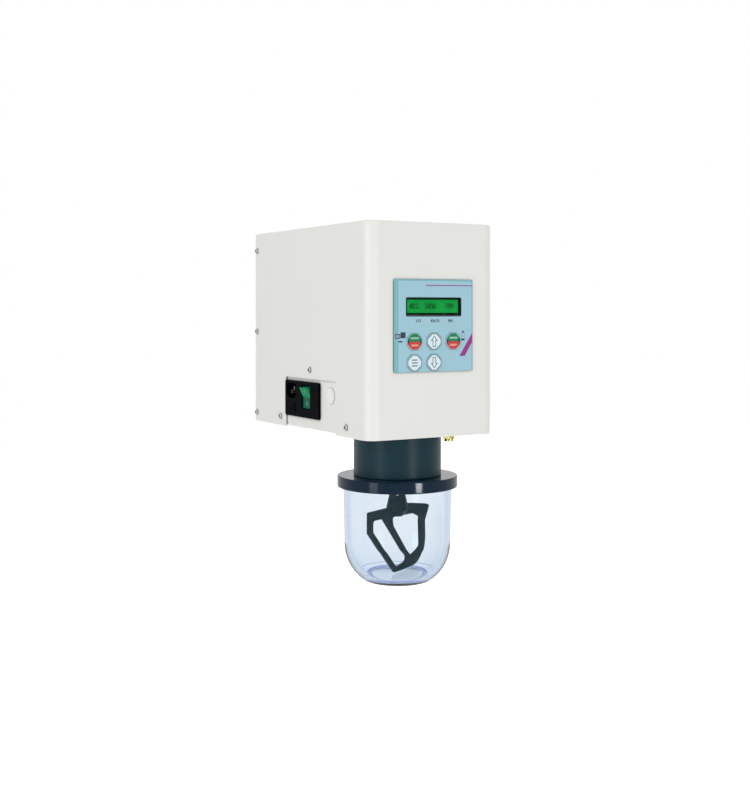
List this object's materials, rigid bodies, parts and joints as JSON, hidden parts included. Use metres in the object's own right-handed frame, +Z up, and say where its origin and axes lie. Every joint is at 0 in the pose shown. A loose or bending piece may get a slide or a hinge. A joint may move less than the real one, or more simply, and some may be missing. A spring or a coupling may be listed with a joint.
{
  "type": "wall-mounted vacuum mixer",
  "caption": "Wall-hung dental vacuum mixer: enamelled housing with keypad and display, docking collar, lid with paddle drive and clear mixing bowl.",
  "frame": {"origin": "centre of the four wall bolt holes, on the back plate's rear face, which is the wall plane", "axes": "+Z up, -Y towards the front with the keypad, +X to the right seen from the front"},
  "size_m": [0.1643, 0.277, 0.387],
  "materials": {
    "enamel": "pale cream-grey powder coat, satin",
    "chassis_enamel": "pale grey powder coat, satin",
    "slate_anodised": "dark blue-green hard anodised, satin, turned",
    "paddle_moulding": "dark grey-green, satin",
    "clear_bowl": "clear, glossy",
    "steel": "zinc-plated or bright steel",
    "brass": "bright turned brass",
    "black_plastic": "fine grain",
    "rocker_green": "translucent green, lit",
    "white_plastic": "satin",
    "panel_blue": "printed polyester foil, fine texture",
    "foil_dark": "foil",
    "key_white": "printed polyester, embossed",
    "key_two_tone": "printed green over red, embossed",
    "clear_pane": "clear polyester window",
    "display_green": "back-lit liquid crystal",
    "circuit_board": "green solder resist",
    "rubber": "matte",
    "pale_rubber": "silicone",
    "hose_clear": "translucent silicone",
    "felt": "felt",
    "motor_grey": "satin paint",
    "pump_dark": "die cast",
    "core_steel": "laminated core, varnished",
    "acetal": "acetal"
  },
  "bodies": {
    "housing": {"hood": "enamel", "back_plate": "chassis_enamel", "bottom_plate": "chassis_enamel", "hood_screws": "steel", "power_module": "black_plastic", "inlet_pins": "steel", "blanking_plug": "white_plastic", "earth_stud": "brass", "panel_foil": "foil_dark", "panel_overlay": "panel_blue", "key_domes": "steel", "display_window": "clear_pane", "display_bezel": "black_plastic", "display_glass": "display_green", "display_board": "circuit_board", "display_pillars": "steel", "control_board": "circuit_board", "board_standoffs": "steel", "collar": "slate_anodised", "collar_screws": "steel", "collar_seal": "rubber", "lower_bearing": "steel", "upper_bearing": "steel", "gear_plate": "steel", "gear_posts": "steel", "mixing_motor": "motor_grey", "motor_screws": "steel", "vacuum_pump": "pump_dark", "pump_motor": "motor_grey", "pump_feet": "rubber", "vacuum_elbow": "brass", "vacuum_hose": "hose_clear", "outlet_hose": "hose_clear", "hose_fitting": "brass", "fitting_nut": "brass", "mains_transformer": "core_steel"},
    "motor_rotor": {"motor_pinion": "steel"},
    "drive": {"drive_shaft": "steel", "drive_gear": "acetal", "drive_socket": "steel"},
    "mixing_head": {"lid": "slate_anodised", "lid_gasket": "pale_rubber", "lid_filter": "felt", "shaft_bush": "brass", "shaft_seal": "rubber"},
    "paddle": {"paddle_shaft": "steel", "shaft_clip": "steel", "mixing_paddle": "paddle_moulding", "paddle_pin": "steel"},
    "bowl": {"bowl": "clear_bowl"},
    "rocker": {"power_rocker": "rocker_green"},
    "drawer": {"fuse_drawer": "black_plastic", "fuses": "steel"},
    "start_left": {"key_start_left": "key_two_tone"},
    "up": {"key_up": "key_white"},
    "start_right": {"key_start_right": "key_two_tone"},
    "function": {"key_function": "key_white"},
    "down": {"key_down": "key_white"}
  },
  "joints": [
    {"name": "drive_spin", "type": "hinge", "parent": "housing", "child": "drive", "pos_m": [0, -0.202, -0.0785], "axis": [0, 0, 1], "continuous": true},
    {"name": "motor_spin", "type": "hinge", "parent": "housing", "child": "motor_rotor", "pos_m": [0, -0.157, -0.0785], "axis": [0, 0, 1], "continuous": true},
    {"name": "head_drop", "type": "slide", "parent": "housing", "child": "mixing_head", "axis": [0, 0, -1], "range_m": [0, 0.03]},
    {"name": "paddle_spin", "type": "hinge", "parent": "mixing_head", "child": "paddle", "pos_m": [0, -0.202, -0.1675], "axis": [0, 0, 1], "continuous": true},
    {"name": "bowl_drop", "type": "slide", "parent": "mixing_head", "child": "bowl", "axis": [0, 0, -1], "range_m": [0, 0.105]},
    {"name": "power_rocker", "type": "hinge", "parent": "housing", "child": "rocker", "pos_m": [-0.0754, -0.1378, -0.0762], "axis": [0, 1, 0], "range_deg": [0, 24]},
    {"name": "fuse_drawer", "type": "slide", "parent": "housing", "child": "drawer", "axis": [-1, 0, 0], "range_m": [0, 0.022]},
    {"name": "press_start_left", "type": "slide", "parent": "housing", "child": "start_left", "axis": [0, 1, 0], "range_m": [0, 0.0004], "stiffness_N_per_m": 4000},
    {"name": "press_up", "type": "slide", "parent": "housing", "child": "up", "axis": [0, 1, 0], "range_m": [0, 0.0004], "stiffness_N_per_m": 4000},
    {"name": "press_start_right", "type": "slide", "parent": "housing", "child": "start_right", "axis": [0, 1, 0], "range_m": [0, 0.0004], "stiffness_N_per_m": 4000},
    {"name": "press_function", "type": "slide", "parent": "housing", "child": "function", "axis": [0, 1, 0], "range_m": [0, 0.0004], "stiffness_N_per_m": 4000},
    {"name": "press_down", "type": "slide", "parent": "housing", "child": "down", "axis": [0, 1, 0], "range_m": [0, 0.0004], "stiffness_N_per_m": 4000}
  ],
  "couplings": [
    {"joint": "motor_spin", "follows": "drive_spin", "ratio": -3.5},
    {"joint": "paddle_spin", "follows": "drive_spin", "ratio": 1}
  ]
}
